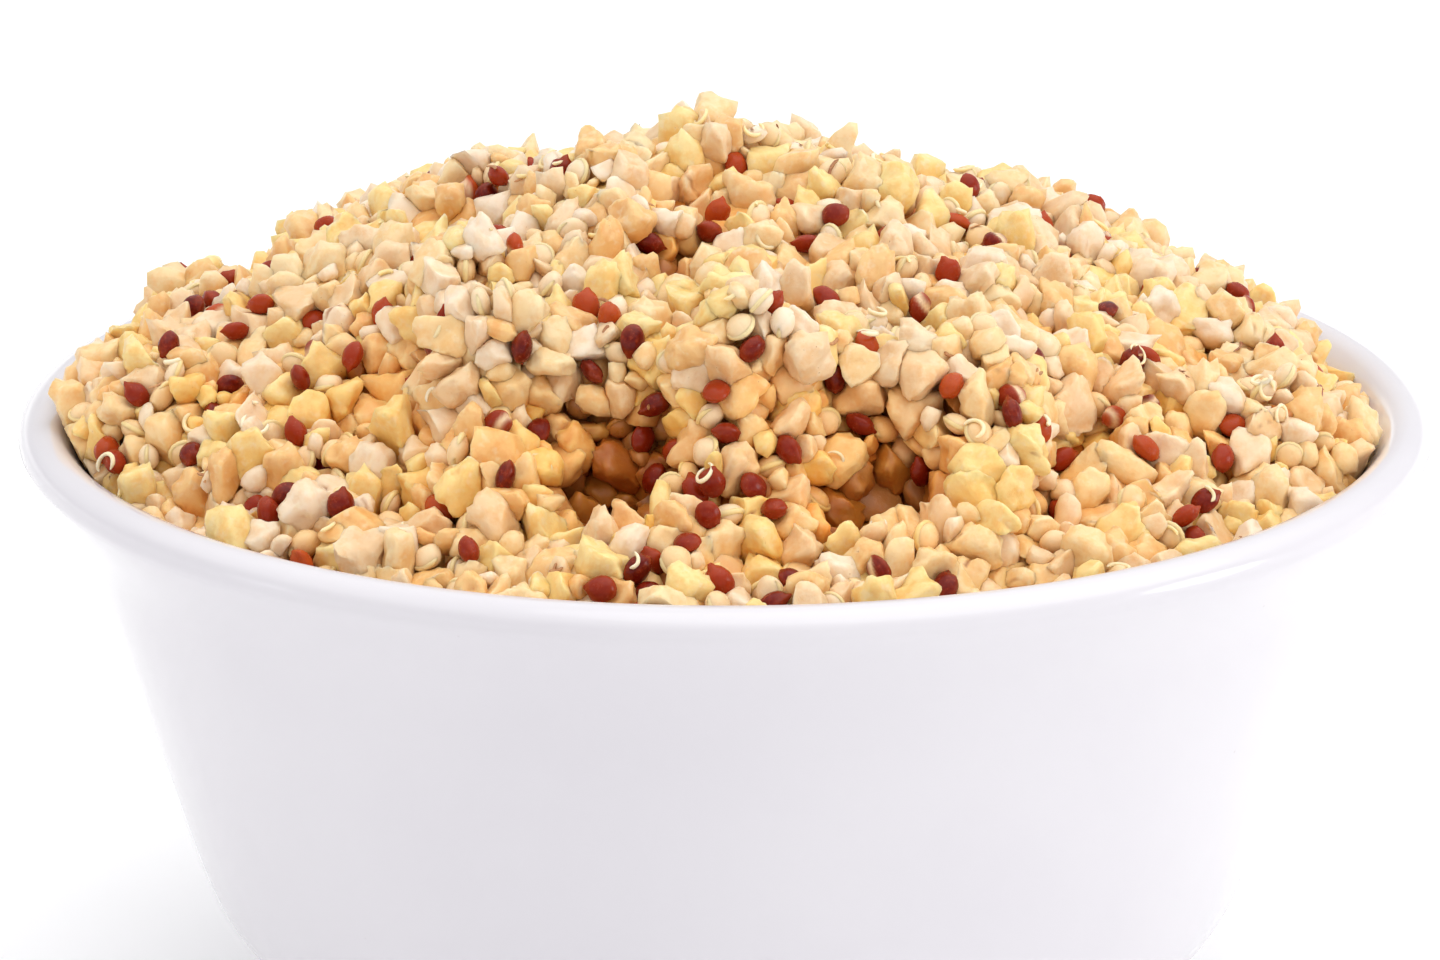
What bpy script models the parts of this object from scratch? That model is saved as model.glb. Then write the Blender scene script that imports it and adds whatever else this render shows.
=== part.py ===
"""A small white bowl heaped with a cooked mix of bulgur wheat and quinoa.

Two solids that touch only through the gap that meshes keep: the turned bowl, and the heap of food,
which fills the bowl to its floor and rises over its rim in clumps and hollows.
The origin is at the middle of the foot, on the surface that the bowl stands on. The bowl's axis is +Z,
and the heap's broken front slope faces -Y.
"""

import math

import bmesh
import bpy
import numpy as np
from mathutils import Vector, noise

MM = 0.001

# ---- Driving dimensions of the bowl, in millimetres -------------------------------------------------

RIM_HEIGHT = 64.0          # top of the lip above the table
CREST_RADIUS = 62.7        # where the lip is highest
LIP_RADIUS = 65.3          # where the lip reaches furthest out
LIP_DROP = 2.0             # from the lip's top down to its widest place
LIP_INNER_WIDTH = 2.2      # from the crest in to where the inner wall starts
UNDER_LIP_CORNER = (1.0, 4.6)    # out from the wall's top and up from it: it curves up to the lip

WALL_TOP = 50.7            # the straight wall runs from here ...
WALL_FOOT = 20.5           # ... down to here
WALL_TOP_RADIUS = 59.2
WALL_FOOT_RADIUS = 50.5
WALL_THICKNESS = 3.1

CORNER_POINT = (48.9, 14.9)    # where the wall's line and the lower slope's line would meet
SLOPE_TOP = (44.1, 10.4)       # the lower slope, from the rounded corner ...
SLOPE_FOOT = (37.4, 3.2)       # ... to the foot

FOOT_OUTER_RADIUS = 35.8
FOOT_INNER_RADIUS = 32.4
FOOT_RECESS = 1.5          # height of the underside inside the foot ring
FLOOR_HEIGHT = 5.0         # top of the bowl's floor, inside
FLOOR_RADIUS = 29.0        # where the floor starts to turn up ...
FLOOR_CORNER = (40.5, 5.5) # ... towards the corner that it would have with the wall

BOWL_STEPS = 48
LIP_STEPS = 4
BEND_STEPS = 3

# ---- Driving dimensions of the heap, in millimetres, heights counted from the rim's plane ------------

GAP = 0.3                  # between the food and the bowl
PEAK_HEIGHT = 26.6
PEAK_PLACE = (-3.0, 2.0)   # the summit stands a little left of the middle and behind it
FULLNESS = 1.08            # 1 would be a plain cone, more makes a fuller dome
SHOULDER_RISE = 3.4        # the slope would meet the wall this far over the rim ...
FRONT_SHOULDER_RISE = 1.0  # ... or this far at the front, if it didn't round off to its edge
ROUNDING = 0.84            # share of the radius where the rounding off starts
EDGE_DROP = 1.4            # the food's edge against the wall lies this far under the rim
EDGE_DROP_BACK = 1.8       # and this much further where the wall shows at the back
LEDGE_RADIUS = 38.5        # the front slope breaks off in a ledge here
LEDGE_HEIGHT = 5.0
LEDGE_WIDTH = 4.0          # from the ledge's edge down to the shelf in front of it
LEDGE_SPAN = 72.0          # degrees to each side of the front that the ledge reaches

TOP_GRID = 44              # squares along one side of the heap's top
FLARE_RINGS = 3            # hidden rings of the heap's side where the bowl's wall flares
TURN_HEIGHTS = (20.5, 12.5, 7.0)    # and where the wall turns into the floor

COARSE_LUMPS = (9.0, 1.3)  # size and height of the seeded unevenness
FINE_LUMPS = (4.2, 0.9)
LUMP_OFFSET = Vector((17.3, 5.9, 2.4))

# Each clump stands out of the slope, and each hollow goes into it: x, y, radius, height.
CLUMPS = (
    ("front_yellow_clump", 3.5, -38.5, 8.0, 4.2),
    ("front_left_clump", -21.0, -36.5, 9.0, 4.4),
    ("front_left_upper_clump", -22.5, -22.0, 8.5, 3.6),
    ("front_right_clump", 24.5, -35.0, 9.5, 3.8),
    ("right_clump", 38.0, -28.0, 9.0, 3.4),
    ("far_right_clump", 53.0, -20.0, 9.0, 2.6),
    ("left_shelf_clump", -38.5, -43.0, 8.0, 3.0),
    ("middle_clump", -13.0, -8.0, 8.0, 2.0),
    ("left_shoulder", -36.0, 14.0, 9.0, 1.4),
    ("left_knob", -23.5, 7.0, 7.0, 1.8),
    ("left_edge_clump", -56.0, 13.0, 9.0, 4.6),
    ("right_shoulder", 27.0, 13.0, 13.0, 2.0),
    ("back_clump", 6.0, 34.0, 12.0, 3.0),
    ("back_left_clump", -24.0, 38.0, 10.0, 2.4),
    ("back_right_clump", 34.0, 36.0, 10.0, 2.6),
)
HOLLOWS = (
    ("step_left_of_peak", -13.0, 8.0, 9.0, -4.2),
    ("step_behind_it", -13.0, 24.0, 10.0, -3.2),
    ("step_left_of_knob", -32.0, 16.0, 9.0, -4.6),
    ("front_hollow", -9.0, -41.5, 6.0, -5.0),
    ("front_right_hollow", 13.5, -42.0, 6.0, -4.6),
    ("right_hollow", 42.0, -16.0, 6.5, -4.2),
    ("left_hollow", -49.0, -12.0, 7.5, -2.6),
    ("middle_hollow", 6.5, -19.0, 5.5, -4.0),
    ("upper_hollow", -3.5, -7.5, 4.5, -3.2),
    ("left_mid_hollow", -31.0, -27.0, 6.0, -2.6),
    ("back_hollow", -6.0, 47.0, 8.0, -2.6),
    ("back_side_hollow", 18.0, 24.0, 7.0, -2.4),
)

# ---- Small helpers ----------------------------------------------------------------------------------


def material(name, colour, roughness):
    """A Principled material of one colour."""
    made = bpy.data.materials.new(name)
    made.use_nodes = True
    shader = made.node_tree.nodes["Principled BSDF"]
    shader.inputs["Base Color"].default_value = (*colour, 1.0)
    shader.inputs["Roughness"].default_value = roughness
    shader.inputs["Metallic"].default_value = 0.0
    return made


def ellipse_arc(centre, radii, start, end, steps):
    """Points of (radius, height) on an ellipse, from the start angle to the end angle in degrees."""
    points = []
    for step in range(steps + 1):
        angle = math.radians(start + (end - start) * step / steps)
        points.append((centre[0] + radii[0] * math.cos(angle), centre[1] + radii[1] * math.sin(angle)))
    return points


def bend(start, corner, end, steps):
    """Points on the smooth curve from start to end that leaves and arrives along the lines to corner."""
    points = []
    for step in range(steps + 1):
        t = step / steps
        weights = ((1 - t) ** 2, 2 * t * (1 - t), t ** 2)
        points.append(tuple(sum(w * p[axis] for w, p in zip(weights, (start, corner, end)))
                            for axis in (0, 1)))
    return points


def smooth_fall(distance):
    """1 at distance 0, falling smoothly to 0 at distance 1 and beyond."""
    inside = max(0.0, 1.0 - distance * distance)
    return inside * inside


def ramp(value, low, high):
    """0 below low, 1 above high, and a smooth step between."""
    t = min(1.0, max(0.0, (value - low) / (high - low)))
    return t * t * (3.0 - 2.0 * t)


# ---- The bowl ---------------------------------------------------------------------------------------


def outer_profile():
    """The bowl's outside, from the lip's top down to the middle of the underside."""
    lip_centre = (CREST_RADIUS, RIM_HEIGHT - LIP_DROP)
    lip = ellipse_arc(lip_centre, (LIP_RADIUS - CREST_RADIUS, LIP_DROP), 90.0, -35.0, LIP_STEPS)
    wall_top = (WALL_TOP_RADIUS, WALL_TOP)
    wall_foot = (WALL_FOOT_RADIUS, WALL_FOOT)
    under_corner = (WALL_TOP_RADIUS + UNDER_LIP_CORNER[0], WALL_TOP + UNDER_LIP_CORNER[1])
    under_lip = bend(lip[-1], under_corner, wall_top, BEND_STEPS)
    corner = bend(wall_foot, CORNER_POINT, SLOPE_TOP, BEND_STEPS)
    foot = [SLOPE_FOOT, (FOOT_OUTER_RADIUS + 0.6, 0.8), (FOOT_OUTER_RADIUS, 0.0),
            (FOOT_INNER_RADIUS, 0.0), (FOOT_INNER_RADIUS - 0.8, FOOT_RECESS), (0.0, FOOT_RECESS)]
    return lip + under_lip[1:] + corner + foot


def inner_profile():
    """The bowl's inside, from the middle of the floor up to the lip's top."""
    wall_foot = (WALL_FOOT_RADIUS - WALL_THICKNESS, WALL_FOOT)
    wall_top = (WALL_TOP_RADIUS - WALL_THICKNESS, WALL_TOP)
    turn_up = bend((FLOOR_RADIUS, FLOOR_HEIGHT), FLOOR_CORNER, wall_foot, BEND_STEPS + 2)
    lip_foot = (CREST_RADIUS - LIP_INNER_WIDTH, RIM_HEIGHT - 2.0)
    flare = bend(wall_top, (WALL_TOP_RADIUS - 1.5, WALL_TOP + 6.0), lip_foot, BEND_STEPS)
    crest = (CREST_RADIUS - 0.9, RIM_HEIGHT - 0.35)
    return [(0.0, FLOOR_HEIGHT)] + turn_up + flare + [crest]


def make_bowl(collection):
    """The bowl, turned from its closed profile with a Screw modifier."""
    outside = outer_profile()
    profile = outside + inner_profile()
    on_axis = len(outside) - 1     # the edge from here to the next point would lie on the axis
    links = [(i, (i + 1) % len(profile)) for i in range(len(profile)) if i != on_axis]
    mesh = bpy.data.meshes.new("bowl")
    mesh.from_pydata([(r * MM, 0.0, z * MM) for r, z in profile], links, [])
    bowl = bpy.data.objects.new("bowl", mesh)
    collection.objects.link(bowl)
    turn = bowl.modifiers.new("turn", "SCREW")
    turn.axis = "Z"
    turn.angle = math.tau
    turn.steps = BOWL_STEPS
    turn.render_steps = BOWL_STEPS
    turn.use_merge_vertices = True
    turn.merge_threshold = 0.00001
    turn.use_smooth_shade = True
    mesh.materials.append(material("bowl_glaze", (0.86, 0.85, 0.88), 0.12))
    return bowl


# ---- The heap ---------------------------------------------------------------------------------------


def food_radius(height):
    """How far the food reaches from the axis at a height above the table, clear of the bowl."""
    profile = inner_profile()[1:] + [(CREST_RADIUS, RIM_HEIGHT)]
    radii = [r for r, z in profile]
    heights = [z for r, z in profile]
    return float(np.interp(height - GAP, heights, radii)) - GAP


def edge_height(angle):
    """The food's edge above the table, at an angle about the bowl's axis (front is -90 degrees)."""
    back_side = max(0.0, math.sin(angle)) * abs(math.cos(angle)) * 2.0
    waver = 0.7 * math.sin(3.0 * angle + 0.8) + 0.5 * math.sin(7.0 * angle)
    return RIM_HEIGHT - EDGE_DROP - EDGE_DROP_BACK * back_side + waver


def lumps(x, y):
    """The seeded unevenness of a slope of small grains."""
    total = 0.0
    for size, height in (COARSE_LUMPS, FINE_LUMPS):
        place = Vector((x / size, y / size, size)) + LUMP_OFFSET
        total += height * noise.noise(place)
    return total


def slope_height(x, y):
    """The heap's surface above the table at a place inside the bowl, before its edge is rounded off."""
    from_peak = math.hypot(x - PEAK_PLACE[0], y - PEAK_PLACE[1])
    radius = math.hypot(x, y)
    from_front = abs(math.degrees(math.atan2(x, -y)))
    ledge_share = 1.0 - ramp(from_front, LEDGE_SPAN * 0.55, LEDGE_SPAN)
    shoulder = SHOULDER_RISE + (FRONT_SHOULDER_RISE - SHOULDER_RISE) * ledge_share
    fall = min(1.0, math.hypot(from_peak / CREST_RADIUS, 0.06)) ** FULLNESS
    height = PEAK_HEIGHT + (shoulder - PEAK_HEIGHT) * fall

    above = 1.0 - ramp(radius, LEDGE_RADIUS, LEDGE_RADIUS + LEDGE_WIDTH)
    near_ledge = ramp(radius, LEDGE_RADIUS * 0.25, LEDGE_RADIUS)
    height += ledge_share * LEDGE_HEIGHT * (above * near_ledge * 0.5 - (1.0 - above) * 0.5)

    for _, cx, cy, reach, rise in CLUMPS + HOLLOWS:
        height += rise * smooth_fall(math.hypot(x - cx, y - cy) / reach)
    return RIM_HEIGHT + height + lumps(x, y)


def square_to_disc(u, v):
    """The place in a round disc of radius 1 of a place in the square from -1 to 1, keeping areas even."""
    if u == 0.0 and v == 0.0:
        return 0.0, 0.0
    if abs(u) > abs(v):
        radius, angle = u, (math.pi / 4.0) * (v / u)
    else:
        radius, angle = v, math.pi / 2.0 - (math.pi / 4.0) * (u / v)
    return radius * math.cos(angle), radius * math.sin(angle)


def heap_point(u, v):
    """A point of the heap's top, in millimetres, from a place in the unit disc."""
    share = math.hypot(u, v)
    angle = math.atan2(v, u)
    edge = edge_height(angle)
    radius = share * food_radius(edge)
    x = radius * math.cos(angle)
    y = radius * math.sin(angle)
    settle = max(0.0, (share - ROUNDING) / (1.0 - ROUNDING)) ** 2
    height = slope_height(x, y) * (1.0 - settle) + edge * settle
    return Vector((x, y, height))


def side_heights(edge):
    """Heights of the rings on the heap's hidden side, from under its edge down to the bowl's floor."""
    flare = [edge + (WALL_TOP - edge) * ring / FLARE_RINGS for ring in range(1, FLARE_RINGS + 1)]
    return flare + list(TURN_HEIGHTS) + [FLOOR_HEIGHT + GAP]


def side_point(angle, ring):
    """A point of the heap's hidden side, on one of its rings."""
    height = side_heights(edge_height(angle))[ring]
    radius = food_radius(height)
    return Vector((radius * math.cos(angle), radius * math.sin(angle), height))


def make_heap(collection):
    """The food as one solid: an uneven top on a grid, and sides that follow the bowl down to its floor."""
    shape = bmesh.new()
    bmesh.ops.create_grid(shape, x_segments=TOP_GRID, y_segments=TOP_GRID, size=1.0)
    for vert in shape.verts:
        vert.co = heap_point(*square_to_disc(vert.co.x, vert.co.y)) * MM

    border = [edge for edge in shape.edges if edge.is_boundary]
    for ring in range(len(side_heights(RIM_HEIGHT))):
        made = bmesh.ops.extrude_edge_only(shape, edges=border)["geom"]
        border = [item for item in made if isinstance(item, bmesh.types.BMEdge) and item.is_boundary]
        for vert in {vert for edge in border for vert in edge.verts}:
            angle = math.atan2(vert.co.y, vert.co.x)
            vert.co = side_point(angle, ring) * MM
    bmesh.ops.holes_fill(shape, edges=border)
    bmesh.ops.triangulate(shape, faces=shape.faces[:])
    bmesh.ops.recalc_face_normals(shape, faces=shape.faces[:])

    mesh = bpy.data.meshes.new("quinoa_heap")
    shape.to_mesh(mesh)
    shape.free()
    heap = bpy.data.objects.new("quinoa_heap", mesh)
    collection.objects.link(heap)
    mesh.materials.append(material("cooked_grain", (0.80, 0.62, 0.34), 0.45))
    return heap


def main():
    for item in list(bpy.data.objects):
        bpy.data.objects.remove(item, do_unlink=True)
    collection = bpy.data.collections.new("bowl_of_quinoa")
    bpy.context.scene.collection.children.link(collection)
    make_bowl(collection)
    make_heap(collection)


main()
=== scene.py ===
"""Looks for the bowl of bulgur and quinoa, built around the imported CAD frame.

The turned bowl is spun again from the CAD bowl's own outline, finer and glazed. The heap's CAD solid gives
the outline: cooked grains of real size are packed into the shell under it, over a smaller core whose
relief carries on below them. Lengths are in millimetres until a mesh is made.
"""

import math

import bpy
import numpy as np
from mathutils import Euler, Matrix, Vector, kdtree, noise
from mathutils.bvhtree import BVHTree


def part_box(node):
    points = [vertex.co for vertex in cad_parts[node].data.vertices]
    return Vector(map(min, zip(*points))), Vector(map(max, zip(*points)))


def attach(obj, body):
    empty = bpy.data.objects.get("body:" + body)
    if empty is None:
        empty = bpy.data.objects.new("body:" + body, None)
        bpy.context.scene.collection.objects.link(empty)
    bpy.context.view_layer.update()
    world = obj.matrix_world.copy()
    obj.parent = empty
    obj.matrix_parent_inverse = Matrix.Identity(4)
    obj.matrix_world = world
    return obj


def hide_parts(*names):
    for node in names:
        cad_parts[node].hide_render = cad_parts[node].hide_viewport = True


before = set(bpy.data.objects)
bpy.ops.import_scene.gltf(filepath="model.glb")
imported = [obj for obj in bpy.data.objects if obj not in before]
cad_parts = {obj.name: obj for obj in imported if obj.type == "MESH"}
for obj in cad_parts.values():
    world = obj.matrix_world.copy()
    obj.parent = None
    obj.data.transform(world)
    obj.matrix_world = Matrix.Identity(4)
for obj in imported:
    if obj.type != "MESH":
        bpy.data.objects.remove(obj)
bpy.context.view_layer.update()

MM = 0.001
RANDOM = np.random.default_rng(11)

# ---- Looks and sizes --------------------------------------------------------------------------------

BOWL_TURN_STEPS = 150
OUTLINE_STEP = 0.8            # between two points of the bowl's smoothed outline
EASINGS = 20                  # times that the outline's bends are eased
SHARP_BELOW = 1.6             # the foot ring's corners, below this height, stay as they are

EASED_IN = 3.0                # the height over which the easing comes in
LIP_KEPT = 2.6                # the lip's height, which stays as it is

CORE_GRID = 100               # the core's top is a grid of this many cells each way
CORE_DEPTH = 3.6              # how deep under the outermost grains the core lies
CORE_HEIGHTS = (50.0, 40.0, 30.0, 20.0, 12.0, 7.0)
CORE_CLEAR = 1.0              # between the core and the bowl

# How near two grains' middles may come, as a share of their radii: soft grains press into each other,
# and firm seeds don't.
CLOSENESS = {0: 0.66, 1: 0.78, 2: 0.86}
SWELL = 1.36                  # a soft grain before it is pressed, against its share of the room
ROUNDING = 0.012              # of the edges that pressing makes, in square millimetres
WALL_CLEAR = 0.12
CELL = 4.2                    # of the grid through which a grain finds its neighbours
SETTLED = 0.86                # how far a grain's middle lies under the surface, as a share of its radius
WALL_PRESS = 0.45             # how near the wall a soft grain's middle may come, as a share of its radius
NEIGHBOUR_REACH = 1.5         # grains farther apart than this share of their radii don't press
FIRM_PRESS = 0.80             # where a firm seed stops a soft grain, as a share of the seed's radius
SOFT_OVERLAP = 0.22           # how far a soft grain reaches past its share of the room
SMALL_DENTS = (0.9, 0.18)     # size and height of a pressed grain's unevenness
LARGE_DENTS = (1.8, 0.16)
SMALL_SHARE = 1.2             # over 1, there are more small grains than large ones
CRUMBS_BELOW = 0.6            # a layer whose grains are smaller than this has only soft ones

FILL_TRIES = 16000            # grains tried on the core, where the layers leave it bare
FILL_RADII = (1.2, 1.9)
FILL_LIFT = 0.7               # their middles, over the core
FILL_DEPTH = 1.5              # how deep they count as lying

CRUMB_RADIUS = 1.3            # a soft grain under this radius gets a coarse mesh
OUTER_DEPTH = 1.2             # grains less deep than this get the finest meshes
BURIED_DEPTH = 2.0            # and deeper than this, the coarsest
NEAREST_Y = -26.0             # in front of here the outermost grains are finest
NEAR_Y = -16.0

CLUMP_SIZE = 10.0             # the unevenness that clumps and gaps of grain add to the heap's outline
CLUMP_SINK = 4.2
GAP_SIZE = 4.0
GAP_SINK = 2.0

# Where the red seeds that stand out lie, from above: on the front, the right, the top and the left.
# A separate script cast points of the photograph onto the heap, and most of these are its results,
# rounded. This is an open fault.
RED_SEEDS = [
    (-10, -57), (-7, -55), (4, -58), (-21, -51), (-3, -52), (0, -55), (-1, -49), (5, -53),
    (18, -53), (-1, -46),
    (4, -47), (6, -43), (-18, -44), (-19, -40), (-15, -39), (-7, -41), (-10, -31), (-8, -35), (-17, -36),
    (-32, -43), (-39, -42), (-37, -31), (-26, -29), (-24, -31), (-33, -24), (-37, -25), (-37, -20),
    (19, -36), (24, -38), (27, -37), (31, -33), (33, -29), (36, -27), (36, -33), (39, -39), (41, -36),
    (45, -29), (40, -25), (36, -22), (27, -29), (50, -10), (46, -15), (36, -13), (49, 8), (57, 3), (53, -17),
    (4, -35), (6, -7), (0, -10), (-2, -13), (-2, -20), (10, -10), (25, -7), (23, 5), (31, 6), (14, 2),
    (-22, -7), (-21, 0), (-18, -20), (-42, -12), (-44, -14), (-49, -5), (-49, -17), (-51, -21), (-53, -25),
    (-47, -29), (-41, 5), (-38, 2),
]
RED_RADII = (1.10, 1.30)
RED_DEPTH = -0.4              # they stand a little out of the surface
RED_FRONT = 5.0               # in front of this y, where most of them lie,
RED_LEFT_OUT = 0.45           # the smaller of the other red seeds are left out

# The painted shade on the grains, set by how much of the sky is hidden from them: a faint tint in the open,
# warm painted shade in a gap, where the red is kept up as a painted glow of light through the grains,
# and dark painted shade deep in a hollow.
PAINTED_SHADE_TINTS = [(0.0, (0.90, 0.93, 0.93)), (0.55, (1.0, 0.81, 0.48)), (1.0, (0.50, 0.24, 0.07))]
PAINTED_SHADE_DEPTHS = (1.1, 4.8)     # under the outermost grains, from no painted shade to full painted shade

# The studio's light by the height of its direction: white low down, darker above, bright overhead.
SKY = [(0.0, (0.93, 0.93, 0.93)), (0.06, (0.93, 0.93, 0.93)), (0.16, (0.48, 0.48, 0.495)),
       (0.5, (0.54, 0.54, 0.55)), (0.7, (0.97, 0.97, 0.97)), (0.85, (1.0, 1.0, 1.0))]
SKY_STRENGTH = 1.36

# Hollows between the clumps: x, y, reach, depth. A hollow less than 0 deep is a rise.
HOLLOWS = {
    "front_left": (-10.0, -42.0, 4.0, 4.2),
    "front_right": (14.2, -42.4, 4.2, 5.0),
    "right": (39.0, -26.0, 4.5, 3.6),
    "top_front": (-3.0, -17.0, 3.6, 3.4),
    "behind_yellow": (6.5, -30.0, 3.6, 3.2),
    "left": (-46.0, -24.0, 4.0, 2.5),
    "left_of_middle": (-29.0, -29.0, 3.8, 2.6),
    "right_of_middle": (30.0, -20.0, 3.6, 2.6),
    "left_rim_rise": (-61.0, -10.0, 8.0, -4.6),
    "left_front_rise": (-55.0, -21.0, 7.5, -2.6),
    "right_rim_rise": (60.0, -14.0, 7.0, -2.2),
    "yellow_rise": (1.0, -37.0, 5.0, -3.0),
    "right_rise": (22.0, -36.0, 6.0, -2.0),
    "left_rise": (-20.0, -34.0, 5.5, -2.0),
}


# ---- Materials --------------------------------------------------------------------------------------


def new_material(name):
    made = bpy.data.materials.new(name)
    made.use_nodes = True
    return made, made.node_tree, made.node_tree.nodes["Principled BSDF"]


def add(tree, kind, **values):
    """A node of a kind, with the given properties, or inputs where no property has the name."""
    node = tree.nodes.new(kind)
    for key, value in values.items():
        if hasattr(node, key):
            setattr(node, key, value)
        else:
            node.inputs[key.replace("_", " ")].default_value = value
    return node


def ramp(tree, value, stops):
    """A colour ramp on a value: stops are (position, colour)."""
    node = tree.nodes.new("ShaderNodeValToRGB")
    node.color_ramp.elements[0].position = stops[0][0]
    node.color_ramp.elements[0].color = (*stops[0][1], 1.0)
    node.color_ramp.elements[1].position = stops[-1][0]
    node.color_ramp.elements[1].color = (*stops[-1][1], 1.0)
    for position, colour in stops[1:-1]:
        node.color_ramp.elements.new(position).color = (*colour, 1.0)
    tree.links.new(value, node.inputs["Fac"])
    return node.outputs["Color"]


def mix(tree, share, first, second, blend="MIX"):
    """A mix of two colours; share and the colours are sockets or values."""
    node = tree.nodes.new("ShaderNodeMix")
    node.data_type = "RGBA"
    node.blend_type = blend
    for socket, value in ((node.inputs["Factor"], share), (node.inputs[6], first), (node.inputs[7], second)):
        if isinstance(value, bpy.types.NodeSocket):
            tree.links.new(value, socket)
        elif isinstance(value, tuple):
            socket.default_value = (*value, 1.0)
        else:
            socket.default_value = value
    return node.outputs[2]


def between(tree, value, low, high, to_low=0.0, to_high=1.0):
    """A value mapped from one range to another, and kept inside it."""
    node = add(tree, "ShaderNodeMapRange")
    for name, number in (("From Min", low), ("From Max", high), ("To Min", to_low), ("To Max", to_high)):
        node.inputs[name].default_value = number
    tree.links.new(value, node.inputs["Value"])
    return node.outputs["Result"]


def noise_of(tree, size_mm, detail=2.0, roughness=0.5):
    """A noise of a given size on the object's own coordinates."""
    place = tree.nodes.new("ShaderNodeTexCoord")
    node = tree.nodes.new("ShaderNodeTexNoise")
    node.inputs["Scale"].default_value = 1.0 / (size_mm * MM)
    node.inputs["Detail"].default_value = detail
    node.inputs["Roughness"].default_value = roughness
    tree.links.new(place.outputs["Object"], node.inputs["Vector"])
    return node.outputs["Fac"]


def bump(tree, shader, height, strength, distance_mm):
    node = add(tree, "ShaderNodeBump")
    node.inputs["Strength"].default_value = strength
    node.inputs["Distance"].default_value = distance_mm * MM
    tree.links.new(height, node.inputs["Height"])
    tree.links.new(node.outputs["Normal"], shader.inputs["Normal"])


def scatter_light(shader, weight, radius_mm):
    """Light that goes into the surface and comes out nearby."""
    shader.inputs["Subsurface Weight"].default_value = weight
    shader.inputs["Subsurface Radius"].default_value = tuple(radius_mm)
    shader.inputs["Subsurface Scale"].default_value = MM


def with_painted_shade(tree, shelter, colour):
    """A colour with the painted shade that its shelter from the sky gives."""
    return mix(tree, 1.0, colour, ramp(tree, shelter, PAINTED_SHADE_TINTS), "MULTIPLY")


def grain_values(tree):
    """The four values that each grain's points carry: tone, shelter (which sets the painted shade), mark and
    bulge.
    """
    attribute = add(tree, "ShaderNodeAttribute", attribute_name="grain")
    parts = tree.nodes.new("ShaderNodeSeparateColor")
    tree.links.new(attribute.outputs["Color"], parts.inputs["Color"])
    return parts.outputs["Red"], parts.outputs["Green"], parts.outputs["Blue"], attribute.outputs["Alpha"]


def bulgur_material(name, tones, thin, deep, roughness=0.36):
    """Cooked bulgur: waxy and a little clear, paler where it is thin, with starchy patches and bran."""
    made, tree, shader = new_material(name)
    tone, shelter, mark, bulge = grain_values(tree)
    colour = ramp(tree, tone, tones)
    colour = mix(tree, between(tree, bulge, 0.95, 1.3, 0.0, 0.55), colour, thin)
    patches = noise_of(tree, 1.5, 3.0, 0.6)
    colour = mix(tree, between(tree, patches, 0.46, 0.66, 0.0, 0.55), colour, deep)
    starch = noise_of(tree, 0.9, 2.0, 0.5)
    colour = mix(tree, between(tree, starch, 0.56, 0.7, 0.0, 0.35), colour, (0.91, 0.79, 0.58))
    flecks = noise_of(tree, 0.45, 3.0, 0.7)
    fleck_share = add(tree, "ShaderNodeMath", operation="MULTIPLY")
    tree.links.new(between(tree, flecks, 0.69, 0.74), fleck_share.inputs[0])
    tree.links.new(between(tree, noise_of(tree, 6.0), 0.52, 0.6, 0.0, 0.8), fleck_share.inputs[1])
    colour = mix(tree, fleck_share.outputs["Value"], colour, (0.40, 0.15, 0.05))
    colour = mix(tree, between(tree, mark, 0.35, 0.9, 0.0, 0.85), colour, (0.42, 0.17, 0.06))
    # Painted shade: darker and warmer where the grain is hidden from the sky.
    colour = with_painted_shade(tree, shelter, colour)
    tree.links.new(colour, shader.inputs["Base Color"])
    gloss = noise_of(tree, 0.8, 2.0)
    tree.links.new(between(tree, gloss, 0.3, 0.7, roughness - 0.08, roughness + 0.12),
                   shader.inputs["Roughness"])
    shader.inputs["Specular IOR Level"].default_value = 0.4
    scatter_light(shader, 0.5, (0.8, 0.75, 0.7))
    bump(tree, shader, noise_of(tree, 0.7, 3.0, 0.6), 0.5, 0.16)
    return made


def white_quinoa_material():
    """Cooked white quinoa: a clear round body with a bright middle, and a pale opaque germ round it."""
    made, tree, shader = new_material("quinoa_white")
    tone, shelter, mark, bulge = grain_values(tree)
    body = ramp(tree, tone, [(0.0, (0.91, 0.63, 0.34)), (0.6, (0.93, 0.69, 0.44)), (1.0, (0.95, 0.76, 0.57))])
    heart = between(tree, bulge, 0.72, 0.60, 0.0, 0.6)
    colour = mix(tree, heart, body, (0.95, 0.86, 0.72))
    patches = noise_of(tree, 0.8, 2.0)
    colour = mix(tree, between(tree, patches, 0.5, 0.75, 0.0, 0.4), colour, (0.84, 0.66, 0.36))
    colour = mix(tree, mark, colour, (0.93, 0.72, 0.38))
    # Painted shade: darker and warmer where the seed is hidden from the sky.
    colour = with_painted_shade(tree, shelter, colour)
    tree.links.new(colour, shader.inputs["Base Color"])
    tree.links.new(between(tree, patches, 0.3, 0.7, 0.24, 0.36), shader.inputs["Roughness"])
    shader.inputs["Specular IOR Level"].default_value = 0.35
    scatter_light(shader, 0.3, (0.7, 0.65, 0.6))
    bump(tree, shader, noise_of(tree, 0.3, 2.0), 0.2, 0.06)
    return made


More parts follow.
